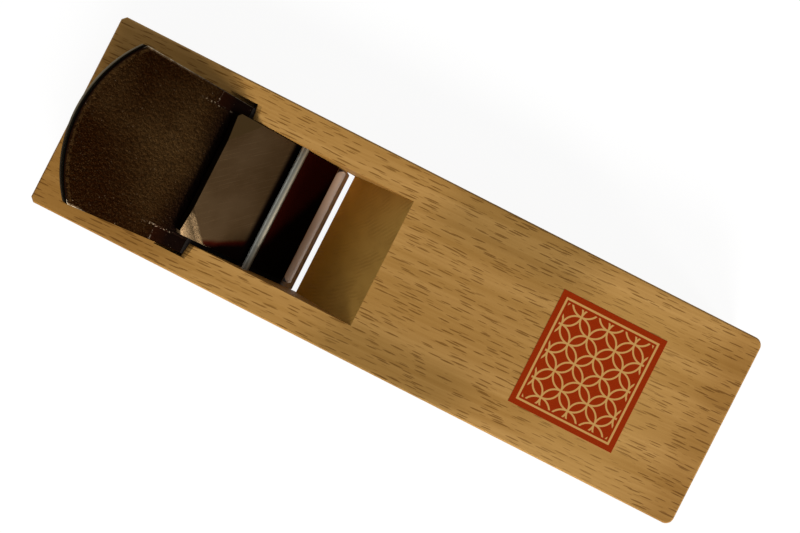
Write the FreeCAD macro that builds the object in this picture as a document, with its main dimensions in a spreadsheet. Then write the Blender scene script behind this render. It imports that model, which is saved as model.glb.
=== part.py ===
"""Japanese pull plane: a wooden stock with a wedge-shaped blade, a chip breaker and a cross pin.

Millimetres, +Z up. The origin is the middle of the sole. X runs along the stock and Y across it. The
blade's cutting edge points towards +X and its head leans towards -X.

A blade's own frame has its origin on the cutting edge, X towards the edge and Z out of the face, so the
blade reaches towards -X and lies under Z = 0. The chip breaker's frame is the same at its own front edge,
but the breaker lies above Z = 0.
"""
import FreeCAD, Part
import os
import re

import Sketcher

# Every size that can be set by itself: name -> (value, what it is). Lengths in mm, angles in degrees.
SIZES = {
    "body_length": (270, "stock, end to end"),
    "body_width": (78, "stock, side to side"),
    "body_height": (36, "stock, sole to top"),
    "tail_corner_radius": (3.2, "rounding of the two upright corners at +X"),
    "head_corner_cut": (1.6, "cut on the two upright corners at -X"),
    "edge_chamfer": (0.6, "fine chamfer around the top and the sole"),
    "mouth_from_rear": (102.8, "front lip of the mouth, from the end under the blade's head"),
    "mouth_gap": (2.15, "from the cutting edge to the front lip, along the sole"),
    "lip_height": (2.5, "upright part of the front lip"),
    "throat_front_angle": (52, "slope of the throat's front wall"),
    "throat_width": (52.4, "between the cheeks"),
    "slot_width": (64.2, "between the outer walls of the two blade grooves"),
    "bed_angle": (38.66, "slope of the bed, eight in ten"),
    "facet_outer_foot": (0.9, "cheek facet at the groove's outer wall: its foot on the groove's roof"),
    "facet_outer_top": (2.7, "cheek facet at the groove's outer wall: its edge on the top"),
    "facet_inner_foot": (1.6, "cheek facet at the throat: its foot on the groove's roof"),
    "facet_inner_top": (3.8, "cheek facet at the throat: its edge on the top"),
    "bed_clearance": (0.02, "between the blade's back and the bed"),
    "roof_clearance": (0.1, "between the blade's face and the roof of the grooves"),
    "blade_length": (114.6, "cutting edge to the top of the head's arc, along the face"),
    "blade_width": (60, "blade just above the ground corners"),
    "blade_head_width": (62.4, "blade at the ends of the head's arc"),
    "blade_offset": (-0.3, "blade off the centre line, towards +Y"),
    "blade_taper": (1.5, "angle between the blade's face and its back"),
    "blade_root_thickness": (5.0, "wedge carried on to the cutting edge"),
    "blade_bevel_angle": (28, "ground bevel, measured from the face"),
    "edge_retraction": (1.0, "cutting edge above the sole, set back out of the mouth"),
    "edge_width": (51.4, "cutting edge, with the corners ground away"),
    "edge_corner_length": (9, "ground corners, along the blade"),
    "head_rise": (11.4, "height of the head's arc"),
    "head_end_thickness": (4.6, "end face of the head, under the hammer"),
    "head_back_cut": (5, "slope behind the head's end face, along the blade"),
    "steel_length": (54, "hard steel of the blade, up from the edge"),
    "steel_thickness": (1.3, "hard steel of the blade"),
    "hollow_depth": (0.35, "hollow in the steel face"),
    "hollow_land": (6, "flat left between the edge and the hollow"),
    "hollow_length": (40, "hollow along the blade"),
    "hollow_width": (44, "hollow across the blade"),
    "hollow_rise": (8, "height of the hollow's arc"),
    "breaker_setback": (2.0, "breaker's front edge behind the cutting edge, along the face"),
    "breaker_offset": (0.75, "breaker off the centre line, towards +Y"),
    "breaker_length": (58.3, "front edge to head"),
    "breaker_width": (50.2, "breaker, side to side"),
    "breaker_thickness": (3.3, "breaker plate"),
    "breaker_tilt": (1.5, "breaker's underside from the blade's face, lifted by the ears"),
    "breaker_bevel_angle": (26, "front bevel, from the underside"),
    "breaker_corner_cut": (0.6, "front corners, across"),
    "breaker_corner_length": (3, "front corners, along"),
    "breaker_clearance": (0.02, "breaker's front edge and ears above the face"),
    "breaker_steel_length": (22, "hard steel of the breaker, back from its edge"),
    "breaker_steel_thickness": (1.0, "hard steel of the breaker"),
    "ear_leg": (11.2, "bent ears at the breaker's head, along each side of the corner"),
    "ear_tip_cut": (0.9, "ear's tip, cut back towards its fold"),
    "pin_from_rear": (82.6, "pin's axis, from the end under the blade's head"),
    "pin_diameter": (3.2, "retaining pin"),
    "pin_clearance": (0.3, "between the pin and the breaker"),
    "pin_fit": (0.01, "radial gap between the pin and its hole"),
    "pin_recess": (0.3, "pin's ends below the sides of the stock"),
    "label_from_rear": (194.3, "label's near edge, from the end under the blade's head"),
    "label_length": (43.4, "label along the stock"),
    "label_width": (47, "label across the stock"),
    "label_offset": (-1, "label's centre off the centre line, towards +Y"),
    "label_thickness": (0.1, "printed film"),
}

OVERCUT = 2  # how far a cutting profile runs past the surface that it opens
TOUCH = 0.01  # two places closer than this are the same
HEAD_SWEEP = 120  # degrees of the cut that follows the head's arc
EAR_TURN = 135  # degrees from +X to the corner of an ear
ACROSS = FreeCAD.Vector(0, 1, 0)

# Places worked out from the sizes, as formulas in the stock's frame.
FACE_ANGLE = "(bed_angle + blade_taper)"
EDGE_X = "(mouth_from_rear - mouth_gap - body_length / 2)"
EDGE_Z = "edge_retraction"
MOUTH_X = "(mouth_from_rear - body_length / 2)"
BACK_X = f"({EDGE_X} - blade_root_thickness * sin{FACE_ANGLE} - bed_clearance * sin(bed_angle))"
BACK_Z = f"({EDGE_Z} - blade_root_thickness * cos{FACE_ANGLE} - bed_clearance * cos(bed_angle))"
BED_FOOT_X = f"({BACK_X} + {BACK_Z} / tan(bed_angle))"
ROOF_FOOT_X = f"({EDGE_X} + ({EDGE_Z} + roof_clearance / cos{FACE_ANGLE}) / tan{FACE_ANGLE})"
ROOF_TOP_X = f"({ROOF_FOOT_X} - body_height / tan{FACE_ANGLE})"
THROAT_TOP_X = f"({MOUTH_X} + (body_height - lip_height) / tan(throat_front_angle))"
BREAKER_ANGLE = f"({FACE_ANGLE} + breaker_tilt)"
BREAKER_X = f"({EDGE_X} - breaker_setback * cos{FACE_ANGLE} + breaker_clearance * sin{FACE_ANGLE})"
BREAKER_Z = f"({EDGE_Z} + breaker_setback * sin{FACE_ANGLE} + breaker_clearance * cos{FACE_ANGLE})"
BREAKER_TOP_X = f"({BREAKER_X} + breaker_thickness * sin{BREAKER_ANGLE})"
BREAKER_TOP_Z = f"({BREAKER_Z} + breaker_thickness * cos{BREAKER_ANGLE})"
PIN_X = "(pin_from_rear - body_length / 2)"
PIN_Z = (
    f"({BREAKER_TOP_Z} + ({BREAKER_TOP_X} - {PIN_X}) * tan{BREAKER_ANGLE}"
    f" + (pin_diameter / 2 + pin_clearance) / cos{BREAKER_ANGLE})"
)
BLADE_SPAN = "(blade_width + blade_head_width)"
BREAKER_SPAN = "(2 * breaker_width)"
HEAD_ARC_RADIUS = "((blade_head_width ^ 2 / 4 + head_rise ^ 2) / (2 * head_rise))"
HOLLOW_ARC_RADIUS = "((hollow_width ^ 2 / 4 + hollow_rise ^ 2) / (2 * hollow_rise))"
EAR_REACH = "(ear_leg / sqrt(2))"
EAR_DROP = "((breaker_length - ear_tip_cut / sqrt(2)) * tan(breaker_tilt))"


def formula(text):
    """A formula whose size names point at the cells of the sheet."""
    return re.sub(r"[a-z_]+", lambda word: f"Sizes.{word[0]}" if word[0] in SIZES else word[0], text)


def bind(item, prop, text):
    item.setExpression(prop, formula(text))


def value_of(item, text):
    return float(item.evalExpression(formula(text)))


def make_sheet(doc):
    sheet = doc.addObject("Spreadsheet::Sheet", "Sizes")
    for row, (name, (value, meaning)) in enumerate(SIZES.items(), start=1):
        sheet.set(f"A{row}", meaning)
        sheet.set(f"B{row}", str(value))
        sheet.setAlias(f"B{row}", name)
    doc.recompute()


def make_body(doc, label):
    body = doc.addObject("PartDesign::Body", label)
    body.Label = label
    return body


def place(item, axis, angle, x, y, z):
    """Put an item at a point of the stock's frame, turned about an axis."""
    item.Placement = FreeCAD.Placement(FreeCAD.Vector(), FreeCAD.Rotation(axis, 1))
    bind(item, "Placement.Rotation.Angle", angle)
    bind(item, "Placement.Base.x", x)
    bind(item, "Placement.Base.y", y)
    bind(item, "Placement.Base.z", z)


def add_sketch(body, name, plane, offset=None):
    """An empty sketch on an origin plane of the body, moved along the plane's normal by offset."""
    sketch = body.newObject("Sketcher::SketchObject", name)
    origin_plane = next(item for item in body.Origin.OriginFeatures if item.Role == plane)
    sketch.AttachmentSupport = [(origin_plane, "")]
    sketch.MapMode = "FlatFace"
    if offset:
        bind(sketch, "AttachmentOffset.Base.z", offset)
    body.Document.recompute()
    return sketch


def hold(sketch, kind, text, geometry, point, name):
    """Hold one coordinate of a sketch's point at a formula."""
    constraint = Sketcher.Constraint(kind, -1, 1, geometry, point, value_of(sketch, text))
    number = sketch.addConstraint(constraint)
    sketch.renameConstraint(number, name)
    bind(sketch, f"Constraints.{name}", text)


def draw_outline(sketch, corners, arc_centre=None):
    """Join corners, each a pair of formulas, by straight runs into a closed outline.

    With arc_centre, the run from the first corner to the second is an arc about that point of the
    sketch's X axis, and bulges towards -X.
    """
    points = [FreeCAD.Vector(value_of(sketch, x), value_of(sketch, y), 0) for x, y in corners]
    count = len(points)
    for index in range(count):
        start = points[index]
        end = points[(index + 1) % count]
        if index == 0 and arc_centre:
            centre = FreeCAD.Vector(value_of(sketch, arc_centre), 0, 0)
            crown = centre - FreeCAD.Vector((start - centre).Length, 0, 0)
            sketch.addGeometry(Part.Arc(start, crown, end))
        else:
            sketch.addGeometry(Part.LineSegment(start, end))
    for index, (x, y) in enumerate(corners):
        sketch.addConstraint(Sketcher.Constraint("Coincident", index, 2, (index + 1) % count, 1))
        hold(sketch, "DistanceX", x, index, 1, f"corner_{index}_x")
        hold(sketch, "DistanceY", y, index, 1, f"corner_{index}_y")
    if arc_centre:
        hold(sketch, "DistanceX", arc_centre, 0, 3, "arc_centre")


def finish_cut(body, feature, volume_before):
    body.Document.recompute()
    if not body.Shape.Volume < volume_before:
        raise RuntimeError(f"{body.Label}: {feature.Label} cuts nothing")


def pad(body, name, sketch, length, downwards=False):
    feature = body.newObject("PartDesign::Pad", name)
    feature.Profile = sketch
    feature.Reversed = downwards
    bind(feature, "Length", length)
    body.Document.recompute()


def cut_down(body, name, sketch, depth):
    """Cut a plan outline into a body, from the sketch's plane down."""
    volume = body.Shape.Volume
    feature = body.newObject("PartDesign::Pocket", name)
    feature.Profile = sketch
    bind(feature, "Length", depth)
    finish_cut(body, feature, volume)


def cut_across(body, name, corners, width):
    """Cut a lengthwise outline out of a body, as wide as given and centred on its middle plane."""
    volume = body.Shape.Volume
    sketch = add_sketch(body, f"{name}_outline", "XZ_Plane")
    draw_outline(sketch, corners)
    feature = body.newObject("PartDesign::Pocket", name)
    feature.Profile = sketch
    feature.SideType = "Symmetric"
    bind(feature, "Length", width)
    finish_cut(body, feature, volume)


def dress(body, kind, name, prop, size, wanted):
    """Add a Fillet or Chamfer on the edges whose bounding boxes pass the test."""
    base = body.Tip
    edges = [
        f"Edge{number}"
        for number, edge in enumerate(base.Shape.Edges, start=1)
        if wanted(edge.BoundBox)
    ]
    feature = body.newObject(f"PartDesign::{kind}", name)
    feature.Base = (base, edges)
    bind(feature, prop, size)
    body.Document.recompute()


def bed_point(height):
    """A point of the bed's slope at a height above the sole."""
    return f"{BED_FOOT_X} - ({height}) / tan(bed_angle)", height


def roof_point(height):
    """A point of the grooves' roof at a height above the sole."""
    return f"{ROOF_FOOT_X} - ({height}) / tan{FACE_ANGLE}", height


def make_block(doc):
    """The stock before its cuts: a block with dressed corners and edges."""
    body = make_body(doc, "plane_body")
    plan = add_sketch(body, "plan", "XY_Plane")
    draw_outline(plan, [
        ("-body_length / 2", "body_width / 2 - head_corner_cut"),
        ("-body_length / 2", "-body_width / 2 + head_corner_cut"),
        ("-body_length / 2 + head_corner_cut", "-body_width / 2"),
        ("body_length / 2", "-body_width / 2"),
        ("body_length / 2", "body_width / 2"),
        ("-body_length / 2 + head_corner_cut", "body_width / 2"),
    ])
    pad(body, "block", plan, "body_height")
    tail_x = value_of(body, "body_length / 2")
    top_z = value_of(body, "body_height")
    dress(body, "Fillet", "tail_corners", "Radius", "tail_corner_radius",
          lambda box: box.XMin > tail_x - TOUCH and box.ZLength > top_z / 2)
    dress(body, "Chamfer", "fine_edges", "Size", "edge_chamfer",
          lambda box: box.ZLength < TOUCH)
    return body


def cut_facet(body, side, name):
    """Take the sharp edge off one cheek, where the groove's roof meets the top. It widens inwards."""
    volume = body.Shape.Volume
    sketches = []
    for place_name, width in (("outer", "slot_width"), ("inner", "throat_width")):
        foot = f"facet_{place_name}_foot"
        top = f"facet_{place_name}_top"
        sketch = add_sketch(body, f"{name}_{place_name}", "XZ_Plane", f"{-side} * {width} / 2")
        depth = f"body_height - {foot} * tan{FACE_ANGLE}"
        draw_outline(sketch, [
            (f"{ROOF_TOP_X} + {foot}", depth),
            (f"{ROOF_TOP_X} + {top}", "body_height"),
            (f"{ROOF_TOP_X} + {top}", f"body_height + {OVERCUT}"),
            (f"{ROOF_TOP_X} - {OVERCUT}", f"body_height + {OVERCUT}"),
            (f"{ROOF_TOP_X} - {OVERCUT}", depth),
        ])
        sketches.append(sketch)
    facet = body.newObject("PartDesign::SubtractiveLoft", name)
    facet.Profile = sketches[0]
    facet.Sections = sketches[1:]
    facet.Ruled = True
    finish_cut(body, facet, volume)


def make_stock(doc):
    """The stock: bed, blade grooves, throat, mouth and the pin's hole, cut in that block."""
    body = make_block(doc)
    cut_across(body, "blade_slot", [
        bed_point(f"-{OVERCUT}"),
        roof_point(f"-{OVERCUT}"),
        roof_point(f"body_height + {OVERCUT}"),
        bed_point(f"body_height + {OVERCUT}"),
    ], "slot_width")
    cut_across(body, "throat", [
        bed_point(f"-{OVERCUT}"),
        (MOUTH_X, f"-{OVERCUT}"),
        (MOUTH_X, "lip_height"),
        (THROAT_TOP_X, "body_height"),
        (THROAT_TOP_X, f"body_height + {OVERCUT}"),
        bed_point(f"body_height + {OVERCUT}"),
    ], "throat_width")
    cut_facet(body, 1, "left_facet")
    cut_facet(body, -1, "right_facet")

    volume = body.Shape.Volume
    bore = add_sketch(body, "pin_bore_outline", "XZ_Plane")
    bore.addGeometry(Part.Circle(FreeCAD.Vector(value_of(bore, PIN_X), value_of(bore, PIN_Z), 0),
                                 FreeCAD.Vector(0, 0, 1), value_of(bore, "pin_diameter / 2")))
    hold(bore, "DistanceX", PIN_X, 0, 3, "pin_x")
    hold(bore, "DistanceY", PIN_Z, 0, 3, "pin_z")
    radius = bore.addConstraint(Sketcher.Constraint("Radius", 0, value_of(bore, "pin_diameter / 2")))
    bore.renameConstraint(radius, "bore_radius")
    bind(bore, "Constraints.bore_radius", "pin_diameter / 2 + pin_fit")
    pin_bore = body.newObject("PartDesign::Pocket", "pin_bore")
    pin_bore.Profile = bore
    pin_bore.SideType = "Symmetric"
    bind(pin_bore, "Length", f"body_width + {OVERCUT}")
    finish_cut(body, pin_bore, volume)
    return body


def add_blade_blank(body, depth):
    """The blade's plan, padded down from its face: ground corners at the edge, an arc at the head."""
    plan = add_sketch(body, f"{body.Label}_plan", "XY_Plane")
    draw_outline(plan, [
        ("head_rise - blade_length", "blade_head_width / 2"),
        ("head_rise - blade_length", "-blade_head_width / 2"),
        ("-edge_corner_length", "-blade_width / 2"),
        ("0", "-edge_width / 2"),
        ("0", "edge_width / 2"),
        ("-edge_corner_length", "blade_width / 2"),
    ], arc_centre=f"{HEAD_ARC_RADIUS} - blade_length")
    pad(body, f"{body.Label}_blank", plan, depth, downwards=True)


def grind_bevel(body):
    """Grind the blade's bevel, from the cutting edge back under the blade."""
    depth = f"blade_root_thickness + {OVERCUT}"
    cut_across(body, f"{body.Label}_bevel", [
        ("0", "0"),
        (f"-({depth}) / tan(blade_bevel_angle)", f"-({depth})"),
        (f"{OVERCUT}", f"-({depth})"),
        (f"{OVERCUT}", "0"),
    ], BLADE_SPAN)


def make_blade_iron(doc):
    """The blade's soft iron: a wedge that is thicker at the head, with a seat for the hard steel."""
    body = make_body(doc, "blade_iron")
    depth = f"blade_root_thickness + blade_length * tan(blade_taper) + {OVERCUT}"
    add_blade_blank(body, depth)
    cut_across(body, "wedge_back", [
        (f"{OVERCUT}", "-blade_root_thickness"),
        ("0", "-blade_root_thickness"),
        ("-blade_length", "-blade_root_thickness - blade_length * tan(blade_taper)"),
        (f"-blade_length - {OVERCUT}", "-blade_root_thickness - blade_length * tan(blade_taper)"),
        (f"-blade_length - {OVERCUT}", f"-({depth}) - {OVERCUT}"),
        (f"{OVERCUT}", f"-({depth}) - {OVERCUT}"),
    ], BLADE_SPAN)
    cut_across(body, "steel_seat", [
        ("-steel_length", "0"),
        ("-steel_length", "-steel_thickness"),
        (f"{OVERCUT}", "-steel_thickness"),
        (f"{OVERCUT}", "0"),
    ], BLADE_SPAN)
    grind_bevel(body)

    volume = body.Shape.Volume
    profile = add_sketch(body, "head_back_outline", "XZ_Plane")
    bind(profile, "AttachmentOffset.Base.x", f"{HEAD_ARC_RADIUS} - blade_length")
    draw_outline(profile, [
        (f"-{HEAD_ARC_RADIUS} - {OVERCUT}", "-head_end_thickness"),
        (f"-{HEAD_ARC_RADIUS}", "-head_end_thickness"),
        (f"-{HEAD_ARC_RADIUS} + head_back_cut", f"-({depth})"),
        (f"-{HEAD_ARC_RADIUS} - {OVERCUT}", f"-({depth})"),
    ])
    slope = body.newObject("PartDesign::Groove", "head_back")
    slope.Profile = profile
    slope.ReferenceAxis = (profile, ["V_Axis"])
    slope.Midplane = True
    slope.Angle = HEAD_SWEEP
    finish_cut(body, slope, volume)
    place(body, ACROSS, FACE_ANGLE, EDGE_X, "blade_offset", EDGE_Z)


def make_blade_steel(doc):
    """The blade's hard steel, forge-welded on the face, with the shallow hollow that eases honing."""
    body = make_body(doc, "blade_steel")
    add_blade_blank(body, "steel_thickness")
    cut_across(body, "steel_end", [
        ("-steel_length", f"{OVERCUT}"),
        (f"-blade_length - {OVERCUT}", f"{OVERCUT}"),
        (f"-blade_length - {OVERCUT}", f"-steel_thickness - {OVERCUT}"),
        ("-steel_length", f"-steel_thickness - {OVERCUT}"),
    ], BLADE_SPAN)
    grind_bevel(body)
    hollow = add_sketch(body, "hollow_outline", "XY_Plane")
    draw_outline(hollow, [
        ("hollow_rise - hollow_length - hollow_land", "hollow_width / 2"),
        ("hollow_rise - hollow_length - hollow_land", "-hollow_width / 2"),
        ("-hollow_land", "-hollow_width / 2"),
        ("-hollow_land", "hollow_width / 2"),
    ], arc_centre=f"{HOLLOW_ARC_RADIUS} - hollow_length - hollow_land")
    cut_down(body, "hollow", hollow, "hollow_depth")
    place(body, ACROSS, FACE_ANGLE, EDGE_X, "blade_offset", EDGE_Z)


def add_breaker_plate(body, thickness):
    """The breaker's plan, padded up from its underside, with the corners of the ears taken off."""
    plan = add_sketch(body, f"{body.Label}_plan", "XY_Plane")
    corners = [
        ("0", "-breaker_width / 2 + breaker_corner_cut"),
        ("0", "breaker_width / 2 - breaker_corner_cut"),
        ("-breaker_corner_length", "breaker_width / 2"),
        ("ear_leg - breaker_length", "breaker_width / 2"),
        ("-breaker_length", "breaker_width / 2 - ear_leg"),
        ("-breaker_length", "-breaker_width / 2 + ear_leg"),
        ("ear_leg - breaker_length", "-breaker_width / 2"),
        ("-breaker_corner_length", "-breaker_width / 2"),
    ]
    draw_outline(plan, corners)
    pad(body, f"{body.Label}_plate", plan, thickness)


def grind_breaker_bevel(body):
    height = f"breaker_thickness + {OVERCUT}"
    cut_across(body, f"{body.Label}_bevel", [
        ("0", "0"),
        (f"-({height}) / tan(breaker_bevel_angle)", height),
        (f"{OVERCUT}", height),
        (f"{OVERCUT}", "0"),
    ], BREAKER_SPAN)


def add_ear(body, side, name):
    """One corner at the breaker's head, bent down about its fold until its tip meets the blade."""
    sections = []
    for stage, reach, half, drop in (
        ("fold", "0", EAR_REACH, "0"),
        ("tip", f"({EAR_REACH} - ear_tip_cut)", "ear_tip_cut", EAR_DROP),
    ):
        section = add_sketch(body, f"{name}_{stage}", "YZ_Plane")
        outwards = FreeCAD.Rotation(FreeCAD.Vector(0, 1, 0), side * EAR_TURN)
        section.AttachmentOffset = FreeCAD.Placement(FreeCAD.Vector(), outwards)
        bind(section, "AttachmentOffset.Base.x",
             f"{side} * ((breaker_width - ear_leg) / 2 + {reach} / sqrt(2))")
        bind(section, "AttachmentOffset.Base.z", f"ear_leg / 2 - breaker_length - {reach} / sqrt(2)")
        body.Document.recompute()
        draw_outline(section, [
            (f"-{half}", f"-{drop}"),
            (half, f"-{drop}"),
            (half, f"breaker_thickness - {drop}"),
            (f"-{half}", f"breaker_thickness - {drop}"),
        ])
        sections.append(section)
    ear = body.newObject("PartDesign::AdditiveLoft", name)
    ear.Profile = sections[0]
    ear.Sections = sections[1:]
    ear.Ruled = True
    body.Document.recompute()


def make_breaker_iron(doc):
    """The breaker's soft iron: a plate with a bevelled front, two bent ears and a seat for the steel."""
    body = make_body(doc, "chip_breaker_iron")
    add_breaker_plate(body, "breaker_thickness")
    cut_across(body, "breaker_steel_seat", [
        ("-breaker_steel_length", f"-{OVERCUT}"),
        ("-breaker_steel_length", "breaker_steel_thickness"),
        (f"{OVERCUT}", "breaker_steel_thickness"),
        (f"{OVERCUT}", f"-{OVERCUT}"),
    ], BREAKER_SPAN)
    grind_breaker_bevel(body)
    add_ear(body, 1, "left_ear")
    add_ear(body, -1, "right_ear")
    place(body, ACROSS, BREAKER_ANGLE, BREAKER_X, "breaker_offset", BREAKER_Z)


def make_breaker_steel(doc):
    """The breaker's hard steel: a thin strip under its front, which presses on the blade's face."""
    body = make_body(doc, "chip_breaker_steel")
    add_breaker_plate(body, "breaker_steel_thickness")
    cut_across(body, "breaker_steel_end", [
        ("-breaker_steel_length", f"-{OVERCUT}"),
        ("-breaker_steel_length", f"breaker_steel_thickness + {OVERCUT}"),
        (f"-breaker_length - {OVERCUT}", f"breaker_steel_thickness + {OVERCUT}"),
        (f"-breaker_length - {OVERCUT}", f"-{OVERCUT}"),
    ], BREAKER_SPAN)
    grind_breaker_bevel(body)
    place(body, ACROSS, BREAKER_ANGLE, BREAKER_X, "breaker_offset", BREAKER_Z)


def make_pin(doc):
    """The round pin across the throat, driven through both cheeks, which wedges the breaker down."""
    pin = doc.addObject("Part::Cylinder", "retaining_pin")
    bind(pin, "Radius", "pin_diameter / 2")
    bind(pin, "Height", "body_width - 2 * pin_recess")
    place(pin, FreeCAD.Vector(1, 0, 0), "90", PIN_X, "body_width / 2 - pin_recess", PIN_Z)


def make_label(doc):
    """The thin printed panel on the top of the stock, ahead of the throat."""
    label = doc.addObject("Part::Box", "label_panel")
    bind(label, "Length", "label_length")
    bind(label, "Width", "label_width")
    bind(label, "Height", "label_thickness")
    bind(label, "Placement.Base.x", "label_from_rear - body_length / 2")
    bind(label, "Placement.Base.y", "label_offset - label_width / 2")
    bind(label, "Placement.Base.z", "body_height")


def check(doc):
    """Stop if any object of the document failed to build."""
    for item in doc.Objects:
        if "Invalid" in item.State or "Error" in item.State:
            raise RuntimeError(f"{item.Label} failed to build: {item.State}")


def export(doc):
    os.makedirs("parts", exist_ok=True)
    for label in NODES:
        shape = doc.getObjectsByLabel(label)[0].Shape
        if shape.isNull() or not shape.isValid() or len(shape.Solids) != 1:
            raise RuntimeError(f"{label} is not one sound solid")
        shape.exportStep(f"parts/{label}.step")
        print(f"{label}: {shape.Volume:.1f} mm3")


NODES = (
    "plane_body",
    "blade_iron",
    "blade_steel",
    "chip_breaker_iron",
    "chip_breaker_steel",
    "retaining_pin",
    "label_panel",
)

document = FreeCAD.newDocument("hand_plane")
make_sheet(document)
make_stock(document)
make_blade_iron(document)
make_blade_steel(document)
make_breaker_iron(document)
make_breaker_steel(document)
make_pin(document)
make_label(document)
document.recompute()
check(document)
export(document)
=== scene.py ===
"""Looks of a wooden pull plane: oak stock, forged blade and chip breaker, steel pin, printed panel.

Metres, +Z up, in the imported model's frame: +X is the way the cutting edge points, the sole is at Z = 0.
The finishes work in millimetres. A pair such as BROWNER_X is a ramp: 0 at its first number, 1 at its second.
"""
import math

import bpy
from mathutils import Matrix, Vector


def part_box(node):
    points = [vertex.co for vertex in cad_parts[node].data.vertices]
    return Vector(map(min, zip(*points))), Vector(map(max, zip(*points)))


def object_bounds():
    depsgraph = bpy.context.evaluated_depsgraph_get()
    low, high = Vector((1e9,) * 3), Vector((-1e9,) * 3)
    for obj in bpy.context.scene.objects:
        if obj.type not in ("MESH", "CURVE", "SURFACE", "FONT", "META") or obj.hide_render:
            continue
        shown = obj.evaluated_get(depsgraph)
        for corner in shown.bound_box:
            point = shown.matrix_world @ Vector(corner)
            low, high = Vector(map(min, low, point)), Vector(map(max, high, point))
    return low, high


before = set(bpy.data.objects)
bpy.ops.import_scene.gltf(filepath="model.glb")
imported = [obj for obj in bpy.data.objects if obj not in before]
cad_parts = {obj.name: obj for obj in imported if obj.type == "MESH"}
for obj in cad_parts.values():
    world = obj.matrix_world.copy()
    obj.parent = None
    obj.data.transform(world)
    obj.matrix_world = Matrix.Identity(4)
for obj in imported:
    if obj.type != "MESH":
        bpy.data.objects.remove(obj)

MM = 0.001
ORIGIN = (0, 0, 0)
cad_low, cad_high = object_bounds()
stock_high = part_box("plane_body")[1]


def srgb(red, green, blue):
    """A colour written as screen values from 0 to 255, as the linear colour that shaders take."""
    def linear(value):
        value /= 255
        return value / 12.92 if value <= 0.04045 else ((value + 0.055) / 1.055) ** 2.4
    return (linear(red), linear(green), linear(blue), 1)


# The stock: how its grain lies, where its top is browner, and where it is painted with shade or light.
GRAIN_LEAN = -0.038
PITH_HEIGHT = 140
RING_WIDTH = 3.4
BROWNER_X = (-60, -95)
BROWNER_Y = (28, 20)
SHADE_SKEW = -0.35
SHADE_START = (-20, 8)
SHADE_END = (70, 42)
LIT_START = (62, 82)
LIT_END = (118, 98)
LIT_Y = (38, 27)
TAIL_X = (116, 130)

# The throat's sloping front wall, painted darker towards the mouth as shade, and the cutter whose arcs it
# bears.
WALL_TILT = (-0.45, -0.6)
WALL_BACK_X = (-36, -34)
WALL_FRONT_X = (-4.5, -5.2)
WALL_HEIGHT = (0, 34)
MILL_CENTRE = (52, -20)
MILL_STEP = 1.5

# The blade: the middle of its edge, the ways along its face and out of it, and its outline.
BLADE_SLOPE = math.radians(40.16)
BLADE_EDGE = (-34.35, 0, 1.0)
BLADE_UP = (-math.cos(BLADE_SLOPE), 0, math.sin(BLADE_SLOPE))
BLADE_OUT = (math.sin(BLADE_SLOPE), 0, math.cos(BLADE_SLOPE))
BLADE_LENGTH = 114.6
BLADE_MIDDLE = -0.3
BLADE_ROOT_HALF = 29.9
BLADE_FLARE = 0.0127
HEAD_HALF = 31.2
HEAD_RISE = 11.4
HEAD_RADIUS = (HEAD_HALF ** 2 + HEAD_RISE ** 2) / (2 * HEAD_RISE)

# The blade's skin: its middle painted pale as a pool of light, the dark patch by its head, the bands that the
# grooves rub, and the painted shade and shadow above the chip breaker's head.
GLOW_SIDE = 4.5
GLOW_HEIGHT = 76
GLOW_SQUEEZE = 0.86
GLOW_REACH = (1, 49)
PATCH_CENTRE = (14, 109)
PATCH_REACH = (13, 3)
ARRIS_WIDTH = (1.1, 0.7)
RING_INWARD = 1.7
HEAD_TILT = (-0.2, -0.4)
HEAD_END_Y = (-14, 4)
GRIP_SIDE = (25.2, 25.9)
GRIP_HEIGHT = (68.6, 67.8)
GRIP_LINE_SIDE = 25.0
GRIP_LINE_HEIGHT = 68.4
SHADE_HUMP = 2.5
SHADE_HEIGHT = (72, 62)
SHADOW_HEIGHT = (63.5, 60.5)

# The chip breaker: its slope, its bevel and the painted shade and shadow in two corners beside the pin.
BREAKER_SLOPE = math.radians(41.66)
BREAKER_FRONT = (-33.67, 0, 4.77)
BREAKER_OUT = (math.sin(BREAKER_SLOPE), 0, math.cos(BREAKER_SLOPE))
BREAKER_MIDDLE = 0.75
BREAKER_HALF = 25.1
BEVEL_TOP = -38.73
BEVEL_TILT = (0.82, 0.88)
END_ROUND = 3
SHADOW_CORNER_SLOPE = 0.529
SHADOW_CORNER_START = 12.5
SHADE_FOOT_SLOPE = 0.943
SHADE_FOOT_START = 43.7
SHADE_FOOT_SIDE = 0.336
PIN_HEIGHT = 24

# The printed panel.
LABEL_CENTRE = (81.0, -1.0)
LABEL_HALF = (21.7, 23.5)
PRINT_BORDER = 2.6
PRINT_LINE = 0.4
PRINT_GAP = 1.2
CIRCLE_RADIUS = 5.6
CIRCLE_LINE = 0.34

# Cleaning and easing the shown meshes: millimetres and degrees.
SAME_POINT = 0.001
FLAT_ANGLE = 0.5
SHARP_ANGLE = 20

# The camera: millimetres and degrees.
SENSOR_WIDTH = 36
LENS = 55.64
CAMERA_OVER_TOP = 464
CAMERA_PLACE = (0.43, 2)
CAMERA_TURN = 26.98

# The studio: the lamps' colour, the light from all round, the dim part of it overhead, and the floor.
DAYLIGHT = (1, 0.985, 0.96)
AMBIENT = 0.4
OVERHEAD = (0.93, 0.985)
OVERHEAD_SHARE = 0.15
FLOOR_HALF = 3000
FLOOR_DROP = 0.1
FLOOR_GLOW = 0.92
FLOOR_SHOWN = 0.1
FLOOR_LIT = 0.8

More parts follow.
